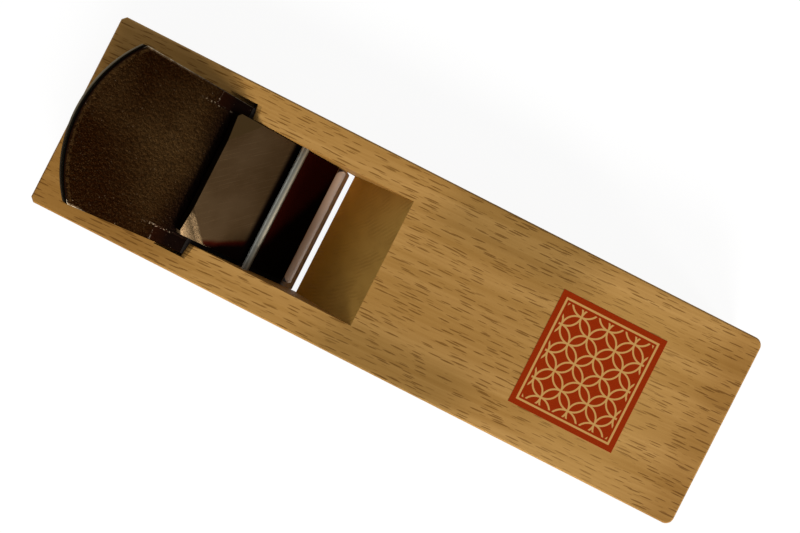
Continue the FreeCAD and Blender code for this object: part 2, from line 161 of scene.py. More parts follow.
OAK_LIGHT = srgb(182, 140, 80)
OAK_PAINTED_LIGHT = srgb(186, 144, 80)
OAK_DARK = srgb(160, 119, 60)
OAK_FIBRE = srgb(134, 92, 34)
OAK_RAY = srgb(98, 60, 6)
OAK_BROWNER = (0.8, 0.74, 0.62, 1)
OAK_PAINTED_SHADE = (0.7, 0.7, 0.64, 1)
END_LIGHT = srgb(160, 124, 74)
END_DARK = srgb(120, 86, 46)
WALL_HIGH = srgb(186, 142, 68)
WALL_SHADED_LOW = srgb(160, 106, 14)
WALL_DARK = srgb(132, 90, 32)
BLADE_CENTRE = srgb(41, 27, 11)
BLADE_SIDE = srgb(19, 6, 1)
BLADE_PIT = srgb(9, 3, 1)
BLADE_GRIT = srgb(78, 60, 36)
BLADE_FRINGE = srgb(150, 122, 88)
BLADE_RUBBED = srgb(27, 9, 3)
BLADE_PATINA_AND_SHADE = srgb(8, 4, 3)
BLADE_SPECK = srgb(150, 132, 108)
HEAD_BLACK = srgb(10, 11, 11)
HEAD_GREY = srgb(30, 27, 22)
HEAD_PALE = srgb(124, 118, 104)
WORN_DULL = srgb(120, 106, 86)
WORN_BRIGHT = srgb(196, 182, 158)
BREAKER_DARK = srgb(54, 39, 22)
BREAKER_LIGHT = srgb(62, 47, 30)
BREAKER_SHADE_RED = srgb(42, 8, 3)
BREAKER_SHADE_BLACK = srgb(8, 3, 2)
BREAKER_SCRATCH = srgb(80, 65, 46)
ARRIS_DARK = srgb(40, 30, 18)
ARRIS_LIGHT = srgb(70, 54, 36)
EAR_ARRIS_DARK = srgb(54, 42, 28)
EAR_ARRIS_LIGHT = srgb(116, 96, 72)
EAR_SHADE = srgb(60, 45, 25)
EAR_DARK = srgb(46, 36, 22)
EAR_LIGHT = srgb(146, 119, 86)
BEVEL_DULL = srgb(184, 154, 124)
BEVEL_PAINTED_LIGHT = srgb(255, 238, 218)
STEEL_GREY = srgb(196, 196, 194)
STEEL_BRIGHT = srgb(232, 232, 230)
FROST_DULL = srgb(240, 222, 204)
FROST_BRIGHT = srgb(255, 246, 236)
PIN_SKY_REFLECTION = srgb(214, 218, 210)
PIN_CROWN_DARK_REFLECTION = srgb(118, 116, 107)
PIN_WOOD_REFLECTION = srgb(134, 126, 110)
PIN_GRIME_AND_SHADE = srgb(72, 68, 58)
RED_DARK = srgb(122, 28, 0)
RED_LIGHT = srgb(146, 44, 1)
DULL_EDGE = (0.3, 0.27, 0.24, 1)


class Surface:
    """A node material under construction, with short calls for the nodes that the finishes share."""

    def __init__(self, name):
        self.material = bpy.data.materials.new(name)
        self.material.use_nodes = True
        self.tree = self.material.node_tree
        self.tree.nodes.clear()
        output = self.tree.nodes.new("ShaderNodeOutputMaterial")
        self.shader = self.tree.nodes.new("ShaderNodeBsdfPrincipled")
        self.tree.links.new(self.shader.outputs["BSDF"], output.inputs["Surface"])
        coordinates = self.tree.nodes.new("ShaderNodeTexCoord")
        self.place = self.vector("MULTIPLY", coordinates.outputs["Object"], (1 / MM, 1 / MM, 1 / MM))
        self.normal = coordinates.outputs["Normal"]

    def put(self, value, socket):
        """Set a socket to a constant, or link it to another node's output."""
        if isinstance(value, bpy.types.NodeSocket):
            self.tree.links.new(value, socket)
        else:
            socket.default_value = value

    def set(self, **values):
        """Set the shader's sockets: base_color=..., roughness=..."""
        for name, value in values.items():
            self.put(value, self.shader.inputs[name.replace("_", " ").title().replace("Ior", "IOR")])

    def math(self, operation, first, second=0.0, third=0.0):
        node = self.tree.nodes.new("ShaderNodeMath")
        node.operation = operation
        for value, socket in zip((first, second, third), node.inputs):
            self.put(value, socket)
        return node.outputs[0]

    def add(self, first, second):
        return self.math("ADD", first, second)

    def minus(self, first, second):
        return self.math("SUBTRACT", first, second)

    def most(self, first, second):
        return self.math("MAXIMUM", first, second)

    def times(self, first, *others):
        """The product of two values or more."""
        for other in others:
            first = self.math("MULTIPLY", first, other)
        return first

    def scale_add(self, value, factor, added):
        """value times factor, plus added."""
        return self.math("MULTIPLY_ADD", value, factor, added)

    def off(self, value, centre=0):
        """How far a value is from the centre, on either side of it."""
        return self.math("ABSOLUTE", self.minus(value, centre))

    def vector(self, operation, first, second):
        node = self.tree.nodes.new("ShaderNodeVectorMath")
        node.operation = operation
        self.put(first, node.inputs[0])
        self.put(second, node.inputs[1])
        return node.outputs["Value" if operation in ("DOT_PRODUCT", "LENGTH") else "Vector"]

    def axis(self, letter, source=None):
        """One coordinate of the place, or of another vector."""
        node = self.tree.nodes.new("ShaderNodeSeparateXYZ")
        self.put(source or self.place, node.inputs[0])
        return node.outputs[letter]

    def facing(self, letter):
        """How far the surface faces along that axis, from -1 to 1."""
        return self.axis(letter, self.normal)

    def point(self, x, y, z=0.0):
        node = self.tree.nodes.new("ShaderNodeCombineXYZ")
        for value, socket in zip((x, y, z), node.inputs):
            self.put(value, socket)
        return node.outputs[0]

    def length(self, x, y):
        """The length of the flat vector with those two coordinates."""
        return self.vector("LENGTH", self.point(x, y), ORIGIN)

    def noise(self, size, detail=2.0, roughness=0.5, source=None):
        """Noise whose blotches are about size millimetres along X, Y and Z, from 0 to 1."""
        scaled = self.vector("DIVIDE", source or self.place, size)
        node = self.tree.nodes.new("ShaderNodeTexNoise")
        node.inputs["Scale"].default_value = 1
        node.inputs["Detail"].default_value = detail
        node.inputs["Roughness"].default_value = roughness
        self.put(scaled, node.inputs["Vector"])
        return node.outputs["Fac"]

    def ramp(self, value, low, high):
        """0 up to low, 1 from high on, and a smooth step between."""
        node = self.tree.nodes.new("ShaderNodeMapRange")
        node.interpolation_type = "SMOOTHSTEP"
        self.put(value, node.inputs["Value"])
        node.inputs["From Min"].default_value = low
        node.inputs["From Max"].default_value = high
        return node.outputs["Result"]

    def near(self, value, centre, half_width):
        """1 within half_width of the centre, with soft edges."""
        return self.ramp(self.off(value, centre), half_width * 1.2, half_width * 0.8)

    def blend(self, share, first, second):
        """Between two numbers: the first where share is 0, the second where it is 1."""
        return self.scale_add(share, self.minus(second, first), first)

    def mix(self, share, first, second, strength=1.0, blend="MIX"):
        """Between two colours: the first where share is 0, and the second, to strength, where it is 1."""
        node = self.tree.nodes.new("ShaderNodeMix")
        node.data_type = "RGBA"
        node.blend_type = blend
        self.put(share if strength == 1.0 else self.times(share, strength), node.inputs[0])
        self.put(first, node.inputs[6])
        self.put(second, node.inputs[7])
        return node.outputs[2]

    def along(self, origin, direction):
        """How far, in millimetres, a point lies from the origin in that direction."""
        return self.vector("DOT_PRODUCT", self.vector("SUBTRACT", self.place, origin), direction)

    def reach(self, first, second, centre, squeeze):
        """How far a point lies from a centre, where the first of its two coordinates counts for less."""
        off_first = self.times(self.minus(first, centre[0]), squeeze)
        return self.length(off_first, self.minus(second, centre[1]))

    def dashes(self, source, cell, small, large):
        """Lens-shaped flecks, one in each cell of about that size, from small to large in shares of it."""
        node = self.tree.nodes.new("ShaderNodeTexVoronoi")
        node.voronoi_dimensions = "2D"
        node.inputs["Scale"].default_value = 1
        self.put(self.vector("DIVIDE", source, cell), node.inputs["Vector"])
        chance = self.axis("X", node.outputs["Color"])
        radius = self.scale_add(chance, large - small, small)
        share = self.math("DIVIDE", node.outputs["Distance"], radius)
        return self.ramp(share, 1.05, 0.7)

    def scratches(self, angle, thickness, threshold):
        """Fine straight scratches at that angle to the length, seen from above."""
        turn = math.radians(angle)
        across = (-math.sin(turn), math.cos(turn), 0)
        along = (math.cos(turn), math.sin(turn), 0)
        lines = self.point(self.vector("DOT_PRODUCT", self.place, along),
                           self.vector("DOT_PRODUCT", self.place, across), 0.0)
        return self.ramp(self.noise((14, thickness, 1), source=lines), threshold - 0.1, threshold)

    def bump(self, height, depth):
        """Raise the surface by height times depth, in millimetres."""
        node = self.tree.nodes.new("ShaderNodeBump")
        node.inputs["Strength"].default_value = 1
        node.inputs["Distance"].default_value = depth * MM
        self.put(height, node.inputs["Height"])
        self.set(normal=node.outputs["Normal"])


def end_grain(wood, grain):
    """Sawn end grain: rings of pores crossed by upright rays."""
    y = wood.axis("Y", grain)
    down = wood.minus(wood.axis("Z", grain), PITH_HEIGHT)
    wander = wood.times(wood.noise((40, 22, 22), detail=3), 14)
    turns = wood.times(wood.add(wood.length(y, down), wander), 2 * math.pi / RING_WIDTH)
    rings = wood.ramp(wood.math("SINE", turns), -0.2, 1.2)
    pores = wood.ramp(wood.noise((3, 0.35, 0.35), detail=1), 0.55, 0.68)
    lines = wood.ramp(wood.noise((50, 0.5, 18), source=grain), 0.55, 0.75)
    rings = wood.times(rings, wood.ramp(wood.noise((30, 12, 12)), 0.2, 0.7))
    colour = wood.mix(rings, END_LIGHT, END_DARK, 0.4)
    pores = wood.times(pores, wood.scale_add(rings, 0.5, 0.2))
    colour = wood.mix(pores, colour, OAK_RAY)
    return wood.mix(lines, colour, OAK_LIGHT, 0.35)


def throat_wall(wood, x, z):
    """1 on the sloping front wall of the throat."""
    faces_back = wood.ramp(wood.facing("X"), *WALL_TILT)
    inner = wood.times(wood.ramp(x, *WALL_BACK_X), wood.ramp(x, *WALL_FRONT_X))
    return wood.times(faces_back, wood.times(inner, wood.ramp(z, 0.2, 0.4)))


def mill_marks(wood, y, z):
    """Arcs that a wide cutter left, close together and faint."""
    radius = wood.length(wood.minus(y, MILL_CENTRE[0]), wood.minus(z, MILL_CENTRE[1]))
    radius = wood.scale_add(wood.noise((5, 5, 5), detail=3), 1.6, radius)
    wave = wood.math("SINE", wood.times(radius, 2 * math.pi / MILL_STEP))
    strength = wood.ramp(wood.noise((7, 7, 7), detail=3), 0.4, 0.65)
    return wood.times(wood.ramp(wave, -1.0, 1.0), strength)


def ray_flecks(wood, grain, weave, side):
    """Large and small rays: dashes along the grain on top, and upright flecks on the sides."""
    x, z = wood.axis("X"), wood.axis("Z")
    rays = wood.most(wood.dashes(grain, (18, 1.7, 1), 0.12, 0.2),
                     wood.dashes(wood.vector("ADD", grain, (9, 3, 0)), (24, 1.9, 1), 0.08, 0.18))
    rays = wood.times(rays, wood.ramp(wood.noise((30, 3, 3), detail=1), 0.0, 0.5))
    small_rays = wood.dashes(wood.vector("ADD", grain, (31, 7, 5)), (13, 1.3, 1), 0.07, 0.19)
    upright = wood.point(wood.add(z, weave), wood.add(x, weave))
    flecks = wood.times(wood.dashes(upright, (17, 2.6, 1), 0.05, 0.22),
                        wood.ramp(wood.noise((30, 20, 12)), 0.35, 0.6))
    small_flecks = wood.dashes(wood.vector("ADD", upright, (5, 3, 0)), (9, 1.7, 1), 0.06, 0.2)
    rays = wood.blend(side, rays, wood.times(flecks, 0.4))
    small_rays = wood.blend(side, small_rays, wood.times(small_flecks, 0.35))
    return rays, small_rays


def weathering(wood, colour, sway, side):
    """Oak that is browner towards the rear and the tail end, with painted shade on the throat's inner walls
    and ahead of the throat, and painted light further on.
    """
    x, y = wood.axis("X"), wood.axis("Y")
    wavy_x = wood.scale_add(sway, 4, x)
    # Browner towards the rear, except along the +Y edge.
    rear_browner = wood.times(wood.ramp(wavy_x, *BROWNER_X), wood.ramp(y, *BROWNER_Y))
    # Painted shade on the inner walls of the throat and the blade's groove.
    painted_shade_inside = wood.times(wood.ramp(wood.off(y), 37, 35), side)
    # Darker and browner towards the tail end.
    tail_end = wood.times(wood.ramp(x, *TAIL_X), 0.8)
    browner_and_shade = wood.most(wood.most(rear_browner, painted_shade_inside), tail_end)
    colour = wood.mix(browner_and_shade, colour, OAK_BROWNER, blend="MULTIPLY")

    # Painted shade on the top, ahead of the throat, strongest towards the long edges.
    skewed = wood.scale_add(y, SHADE_SKEW, x)
    painted_shade = wood.times(wood.ramp(skewed, *SHADE_START), wood.ramp(skewed, *SHADE_END))
    painted_shade = wood.times(painted_shade, wood.ramp(wood.facing("Z"), 0.2, 0.8))
    painted_shade = wood.times(painted_shade, wood.blend(wood.ramp(wood.off(y), 14, 30), 0.25, 0.9))
    colour = wood.mix(painted_shade, colour, OAK_PAINTED_SHADE, blend="MULTIPLY")

    # Painted light: a paler patch further along the top.
    painted_light = wood.times(wood.ramp(wavy_x, *LIT_START),
                       wood.times(wood.ramp(x, *LIT_END), wood.ramp(y, *LIT_Y)))
    return wood.mix(painted_light, colour, OAK_PAINTED_LIGHT, 0.26)


def oak():
    """Planed oak: rays are short dark dashes on top, upright flecks on the sides and lines on the ends."""
    wood = Surface("planed_oak")
    x, y, z = (wood.axis(letter) for letter in "XYZ")
    sway = wood.times(wood.minus(wood.noise((110, 30, 60), detail=1), 0.5), 4.0)
    weave = wood.times(wood.minus(wood.noise((45, 12, 9)), 0.5), 2.0)
    lean = wood.scale_add(x, GRAIN_LEAN, wood.add(sway, weave))
    grain = wood.point(x, wood.add(y, lean), z)
    side = wood.ramp(wood.off(wood.facing("Y")), 0.5, 0.8)

    bands = wood.ramp(wood.noise((260, 7, 14), detail=3, source=grain), 0.3, 0.72)
    fibre = wood.noise((7, 0.25, 0.4), detail=3, source=grain)
    pores = wood.ramp(wood.noise((2.6, 0.2, 0.3), detail=1, source=grain), 0.62, 0.75)
    streaks = wood.ramp(wood.noise((90, 1.1, 1.4), source=grain), 0.35, 0.7)
    rays, small_rays = ray_flecks(wood, grain, weave, side)
    colour = wood.mix(bands, OAK_DARK, OAK_LIGHT)
    colour = wood.mix(streaks, colour, OAK_FIBRE, 0.28)
    colour = wood.mix(fibre, colour, OAK_FIBRE, 0.2)
    colour = wood.mix(pores, colour, OAK_RAY, 0.15)
    colour = wood.mix(small_rays, colour, OAK_RAY, 0.4)
    colour = wood.mix(rays, colour, OAK_RAY, 0.68)
    colour = weathering(wood, colour, sway, side)
    end = wood.ramp(wood.off(wood.facing("X")), 0.75, 0.95)
    colour = wood.mix(end, colour, end_grain(wood, grain))

    wall = throat_wall(wood, x, z)
    marks = mill_marks(wood, y, z)
    clouds = wood.ramp(wood.noise((9, 6, 9), detail=3), 0.4, 0.7)
    # Painted shade: the wall is darker and more saturated towards the mouth.
    wall_colour = wood.mix(wood.ramp(z, *WALL_HEIGHT), WALL_SHADED_LOW, WALL_HIGH)
    wall_colour = wood.mix(marks, wall_colour, WALL_DARK, 0.22)
    wall_colour = wood.mix(clouds, wall_colour, WALL_DARK, 0.2)
    colour = wood.mix(wall, colour, wall_colour)

    wood.set(base_color=colour, roughness=wood.scale_add(fibre, 0.2, 0.5), specular_ior_level=0.1)
    relief = wood.minus(wood.times(fibre, 0.6), rays)
    wood.bump(wood.blend(wall, relief, wood.times(marks, 0.9)), 0.03)
    return wood.material


def blade_skin(iron, y, height, pits, grain):
    """Brown oxide with pits and bright grit, painted palest in the middle of the face and darkest at its
    sides, as light and shade.
    """
    mottle = iron.noise((14, 10, 14), detail=3, roughness=0.6)
    # Painted light: a pale glow in the middle of the face, darker towards the sides.
    spread = iron.scale_add(iron.off(y, GLOW_SIDE), GLOW_SQUEEZE, iron.off(height, GLOW_HEIGHT))
    outward = iron.ramp(iron.scale_add(mottle, 14, spread), *GLOW_REACH)
    patch = iron.ramp(iron.reach(y, height, PATCH_CENTRE, 0.7), *PATCH_REACH)
    outward = iron.times(outward, iron.scale_add(patch, -0.4, 1.0))
    blotches = iron.ramp(iron.noise((5, 4, 5), detail=3), 0.45, 0.7)
    colour = iron.mix(outward, BLADE_CENTRE, BLADE_SIDE)
    colour = iron.mix(blotches, colour, BLADE_SIDE, 0.35)
    colour = iron.mix(iron.ramp(pits, 0.5, 0.66), colour, BLADE_PIT, 0.45)
    grit = iron.times(iron.ramp(grain, 0.5, 0.72), iron.blend(outward, 0.28, 0.14))
    return iron.mix(grit, colour, BLADE_GRIT)


def blade_head(iron, colour, y, height, side, pits):
    """The head: a black arris round its arc, a pale fringe down its sides that is partly wear and partly a
    painted reflection, and a grey sloping end.
    """
    arc = iron.reach(y, height, (0, BLADE_LENGTH - HEAD_RADIUS), 1)
    inward = iron.minus(HEAD_RADIUS, arc)
    inward = iron.add(inward, iron.times(iron.noise((3, 3, 3)), 0.8))
    colour = iron.mix(iron.ramp(inward, *ARRIS_WIDTH), colour, HEAD_BLACK, 0.6)
    ring = iron.times(iron.near(inward, RING_INWARD, 0.6), iron.ramp(pits, 0.62, 0.42))
    colour = iron.mix(ring, colour, BLADE_CENTRE, 0.75)

    # Partly a painted reflection: the pale fringe is strongest along the +Y side and at the -Y corner by the
    # head.
    outside = iron.minus(side, iron.scale_add(height, BLADE_FLARE, BLADE_ROOT_HALF))
    outside = iron.scale_add(iron.noise((1.5, 1.5, 1.5)), 0.8, outside)
    left = iron.times(iron.ramp(height, 70, 104), 0.3)
    right = iron.times(iron.ramp(height, 97, 103), 0.8)
    fringe = iron.times(iron.ramp(outside, -0.6, 0.4), iron.blend(iron.ramp(y, 0, -1), left, right))
    colour = iron.mix(fringe, colour, BLADE_FRINGE)

    depth = iron.along(BLADE_EDGE, BLADE_OUT)
    pale = iron.times(iron.ramp(depth, -2.2, -3.9), iron.blend(iron.ramp(y, *HEAD_END_Y), 0.25, 1.0))
    end_colour = iron.mix(iron.near(depth, -2.3, 1.0), HEAD_BLACK, HEAD_GREY)
    end_colour = iron.mix(pale, end_colour, HEAD_PALE)
    head_end = iron.times(iron.ramp(iron.facing("X"), *HEAD_TILT), iron.ramp(iron.facing("Z"), -0.6, -0.4))
    return iron.mix(head_end, colour, end_colour)


def grip_lines(iron, height, side):
    """Bright specks along the border of the bands that the grooves rub, and dust all over."""
    top_line = iron.times(iron.near(height, GRIP_LINE_HEIGHT, 0.28), iron.ramp(side, 24.6, 25.2))
    side_line = iron.times(iron.near(side, GRIP_LINE_SIDE, 0.4),
                           iron.times(iron.ramp(height, 60, 62), iron.ramp(height, 77, 72)))
    specks = iron.ramp(iron.noise((0.7, 0.7, 0.7)), 0.5, 0.75)
    bright = iron.times(iron.most(iron.times(top_line, 0.55), iron.times(side_line, 0.4)), specks)
    dust = iron.times(iron.ramp(iron.noise((0.55, 0.55, 0.55), detail=0), 0.82, 0.88), 0.2)
    return iron.most(bright, dust)


def forged_blade():
    """The blade's forged skin: brown oxide, pitted, rubbed smooth where the grooves grip its sides, and with
    painted shade and shadow on its face just above the chip breaker's head.
    """
    iron = Surface("forged_blade")
    height = iron.along(BLADE_EDGE, BLADE_UP)
    y = iron.minus(iron.axis("Y"), BLADE_MIDDLE)
    side = iron.off(y)
    pits = iron.noise((1.2, 1.2, 1.2), roughness=0.6)
    grain = iron.noise((0.5, 0.5, 0.5))
    colour = blade_skin(iron, y, height, pits, grain)
    colour = blade_head(iron, colour, y, height, side, pits)

    wobble = iron.times(iron.noise((3, 3, 3)), 1.2)
    low_height = iron.minus(height, wobble)
    rubbed = iron.times(iron.ramp(iron.add(side, wobble), *GRIP_SIDE), iron.ramp(low_height, *GRIP_HEIGHT))
    hump = iron.times(iron.ramp(side, 14, 0), SHADE_HUMP)
    colour = iron.mix(rubbed, colour, BLADE_RUBBED, 0.9)
    # Painted shade, and the breaker head's painted shadow, on the face just above the breaker.
    colour = iron.mix(iron.ramp(iron.add(height, hump), *SHADE_HEIGHT), colour, BLADE_PATINA_AND_SHADE, 0.65)
    colour = iron.mix(iron.ramp(low_height, *SHADOW_HEIGHT), colour, BLADE_PATINA_AND_SHADE, 0.8)
    colour = iron.mix(grip_lines(iron, height, side), colour, BLADE_SPECK)

    iron.set(base_color=colour, metallic=1.0, roughness=iron.scale_add(rubbed, -0.12, 0.46),
             specular_tint=DULL_EDGE)
    relief = iron.scale_add(grain, 0.6, iron.ramp(pits, 0.7, 0.3))
    iron.bump(iron.times(relief, iron.scale_add(rubbed, -0.75, 1.0)), 0.09)
    return iron.material


def bevel_ends(iron, x, y):
    """1 on the breaker's front bevel, short of its top corners, which are ground round."""
    from_top = iron.most(iron.minus(BEVEL_TOP + END_ROUND, x), 0)
    from_end = iron.most(iron.minus(iron.off(y, BREAKER_MIDDLE), BREAKER_HALF - END_ROUND), 0)
    return iron.ramp(iron.length(from_top, from_end), END_ROUND + 0.1, END_ROUND - 0.2)


def painted_breaker_shade(iron, colour, x, y, z):
    """Painted shade and shadow on the breaker's face: a cast shadow in one corner, a dark band along the pin,
    and red turning black below it.
    """
    soft = iron.times(iron.noise((5, 5, 5)), 1.5)
    corner = iron.add(iron.minus(iron.scale_add(x, SHADOW_CORNER_SLOPE, SHADOW_CORNER_START), y), soft)
    shade_foot = iron.minus(iron.scale_add(x, SHADE_FOOT_SLOPE, SHADE_FOOT_START), iron.times(y, SHADE_FOOT_SIDE))
    low = iron.mix(iron.ramp(iron.add(shade_foot, soft), -1, 3.5), BREAKER_SHADE_RED, BREAKER_SHADE_BLACK)
    colour = iron.mix(iron.ramp(corner, -1.8, 0.4), colour, BREAKER_SHADE_RED)
    colour = iron.mix(iron.ramp(corner, -0.2, 2.2), colour, BREAKER_SHADE_BLACK)
    colour = iron.mix(iron.ramp(z, PIN_HEIGHT + 2.1, PIN_HEIGHT + 0.5), colour, BREAKER_SHADE_BLACK)
    return iron.mix(iron.ramp(z, PIN_HEIGHT - 1, PIN_HEIGHT - 3), colour, low)


def lit_bare_ear(iron, grit):
    """The bare ground metal of one bent ear, with a painted highlight: a line along its fold, and paler
    towards its tip.
    """
    drop = iron.add(iron.along(BREAKER_FRONT, BREAKER_OUT), iron.times(iron.noise((2, 2, 2)), 0.25))
    shine = iron.most(iron.times(iron.near(drop, -0.15, 0.2), 0.4),
                      iron.blend(iron.ramp(drop, -0.4, -1.4), 0.15, 1.0))
    bare = iron.mix(shine, EAR_DARK, EAR_LIGHT)
    return iron.mix(grit, bare, EAR_DARK, 0.5)


def forged_breaker():
    """The chip breaker: a smooth brown ground face with painted shade by the pin, one ear bright with a
    painted highlight and one in painted shade, and a bevel painted brighter towards its edge.
    """
    iron = Surface("forged_breaker")
    x, y, z = (iron.axis(letter) for letter in "XYZ")
    clouds = iron.noise((16, 16, 16), detail=3)
    scratches = iron.scratches(45, 0.3, 0.68)
    colour = iron.mix(iron.ramp(clouds, 0.3, 0.7), BREAKER_DARK, BREAKER_LIGHT)
    colour = iron.mix(scratches, colour, BREAKER_SCRATCH, 0.3)
    # Painted shade: the cheek's shadow in one corner, the pin's dark band and the shaded face below the pin.
    colour = painted_breaker_shade(iron, colour, x, y, z)

    tilt = iron.facing("Y")
    ear = iron.times(iron.ramp(iron.off(tilt), 0.04, 0.1), iron.ramp(iron.facing("Z"), 0.25, 0.4))
    # Painted highlight on the ear that faces -Y, and painted shade on the other ear.
    lit_ear_side = iron.ramp(tilt, 0.02, -0.02)
    grit = iron.ramp(iron.noise((0.6, 0.6, 0.6), detail=3, roughness=0.7), 0.35, 0.65)
    colour = iron.mix(ear, colour, iron.mix(lit_ear_side, EAR_SHADE, lit_bare_ear(iron, grit)))
    bevel = iron.times(iron.ramp(iron.facing("X"), *BEVEL_TILT), bevel_ends(iron, x, y))
    # Painted light: the bevel is brighter towards its edge.
    bevel_painted_light = iron.mix(iron.ramp(x, BEVEL_TOP - 1, BEVEL_TOP + 3), BEVEL_DULL, BEVEL_PAINTED_LIGHT)
    colour = iron.mix(bevel, colour, bevel_painted_light)

    bare = iron.times(ear, lit_ear_side)
    rough = iron.most(iron.times(bare, 0.5), iron.times(bevel, 0.6))
    rough = iron.most(iron.scale_add(clouds, 0.08, 0.3), rough)
    iron.set(base_color=colour, metallic=iron.scale_add(bevel, -0.4, 1.0), roughness=rough)
    iron.bump(iron.add(iron.times(grit, bare, 7), iron.times(scratches, 0.5)), 0.012)
    return iron.material


def worn_and_lit_blade_arris():
    """The blade's arrises: rubbed pale round the back of the head, and pale along the +Y side and at the -Y
    corner by the head, partly wear and partly a painted reflection.
    """
    steel = Surface("worn_and_lit_blade_arris")
    height = steel.along(BLADE_EDGE, BLADE_UP)
    wear = steel.ramp(steel.noise((1.5, 1.5, 1.5)), 0.3, 0.7)
    # Painted reflection: the pale line goes to the arris facing +Y, and to the -Y one only near the head.
    left = steel.times(steel.ramp(steel.facing("Y"), 0.1, 0.4),
                       steel.blend(steel.ramp(height, 70, 102), 0.15, 0.9))
    right = steel.times(steel.ramp(steel.facing("Y"), -0.1, -0.4), steel.ramp(height, 95, 102))
    long_edge = steel.ramp(steel.off(steel.axis("Y"), BLADE_MIDDLE), 29.4, 30.2)
    side = steel.times(steel.most(left, right), long_edge, steel.ramp(steel.facing("X"), 0.0, 0.3))
    back = steel.times(steel.ramp(steel.along(BLADE_EDGE, BLADE_OUT), -3.2, -3.8),
                       steel.blend(steel.ramp(steel.axis("Y"), *HEAD_END_Y), 0.15, 1.0))
    rubbed = steel.most(side, back)
    bright = steel.mix(wear, WORN_DULL, WORN_BRIGHT)
    steel.set(base_color=steel.mix(rubbed, BLADE_SIDE, bright), metallic=1.0,
              roughness=steel.blend(rubbed, 0.6, 0.35), specular_tint=DULL_EDGE)
    return steel.material


def worn_breaker():
    """The breaker's arrises: a little lighter than its face, pale with a painted highlight at the ear that
    faces -Y, and pale at the bevel.
    """
    steel = Surface("worn_breaker")
    wear = steel.ramp(steel.noise((1.5, 1.5, 1.5)), 0.3, 0.7)
    # Painted highlight on the arrises of the ear that faces -Y.
    ear = steel.times(steel.ramp(steel.axis("Y"), -15, -22), steel.ramp(steel.axis("Z"), 33, 37))
    plain = steel.mix(wear, ARRIS_DARK, ARRIS_LIGHT)
    bright = steel.mix(wear, EAR_ARRIS_DARK, EAR_ARRIS_LIGHT)
    colour = steel.mix(ear, plain, bright)
    colour = steel.mix(steel.ramp(steel.axis("X"), BEVEL_TOP - 1, BEVEL_TOP), colour, BEVEL_DULL)
    steel.set(base_color=colour, metallic=1.0, roughness=0.35, specular_tint=DULL_EDGE)
    return steel.material


def blade_steel():
    """The blade's hard steel face: bright near the edge, dark with age further up, and painted shade in the
    gaps beside the breaker.
    """
    steel = Surface("blade_steel")
    height = steel.along(BLADE_EDGE, BLADE_UP)
    clouds = steel.noise((4, 4, 4), detail=3)
    lines = steel.noise((6, 0.25, 6), detail=3)
    patina_and_shade = steel.ramp(steel.scale_add(clouds, 8, height), 30, 46)
    # Painted shade in the gaps between the breaker's sides and the grooves.
    shade_beside_breaker = steel.times(steel.ramp(steel.off(steel.axis("Y")), 23.6, 24.4), steel.ramp(height, 4, 7))
    patina_and_shade = steel.most(patina_and_shade, shade_beside_breaker)
    bright = steel.mix(clouds, STEEL_GREY, STEEL_BRIGHT)
    steel.set(base_color=steel.mix(patina_and_shade, bright, BLADE_PATINA_AND_SHADE), metallic=steel.scale_add(patina_and_shade, -0.6, 1.0),
              roughness=steel.scale_add(patina_and_shade, 0.3, 0.3), specular_tint=DULL_EDGE)
    steel.bump(lines, 0.004)
    return steel.material


def frosted_steel():
    """The breaker's hard steel, left frosted by a fine grindstone whose lines run across it."""
    steel = Surface("frosted_steel")
    lines = steel.noise((0.25, 6, 0.25), detail=3)
    clouds = steel.noise((5, 5, 5), detail=3)
    steel.set(base_color=steel.mix(clouds, FROST_DULL, FROST_BRIGHT), metallic=1.0,
              roughness=steel.scale_add(lines, 0.15, 0.5))
    steel.bump(lines, 0.004)
    return steel.material


def drawn_steel():
    """The pin's drawn steel with painted reflections by the way it faces: cool on its flank by the blade,
    dark on its crown, warm beyond, and painted shade on the far flank; grime in clouds all over.
    """
    steel = Surface("drawn_steel")
    lines = steel.noise((0.25, 6, 0.25), detail=3)
    clouds = steel.noise((2, 5, 2), detail=3)
    turn = steel.facing("X")
    # Painted reflections and shade, chosen by the way the surface faces.
    colour = steel.mix(steel.ramp(turn, -0.65, -0.15), PIN_SKY_REFLECTION, PIN_CROWN_DARK_REFLECTION)
    colour = steel.mix(steel.ramp(turn, 0.1, 0.45), colour, PIN_WOOD_REFLECTION)
    colour = steel.mix(steel.ramp(turn, 0.7, 1.0), colour, PIN_GRIME_AND_SHADE, 0.8)
    colour = steel.mix(clouds, colour, PIN_GRIME_AND_SHADE, 0.3)
    steel.set(base_color=colour, metallic=1.0, roughness=steel.scale_add(lines, 0.15, 0.45))
    steel.bump(lines, 0.004)
    return steel.material


def circle_lattice(ink, x, y, shift):
    """Rings of CIRCLE_RADIUS on a square lattice, each touching the next."""
    def wrap(value):
        moved = ink.add(value, shift + CIRCLE_RADIUS)
        return ink.minus(ink.math("FLOORED_MODULO", moved, 2 * CIRCLE_RADIUS), CIRCLE_RADIUS)
    return ink.near(ink.length(wrap(x), wrap(y)), CIRCLE_RADIUS, CIRCLE_LINE)


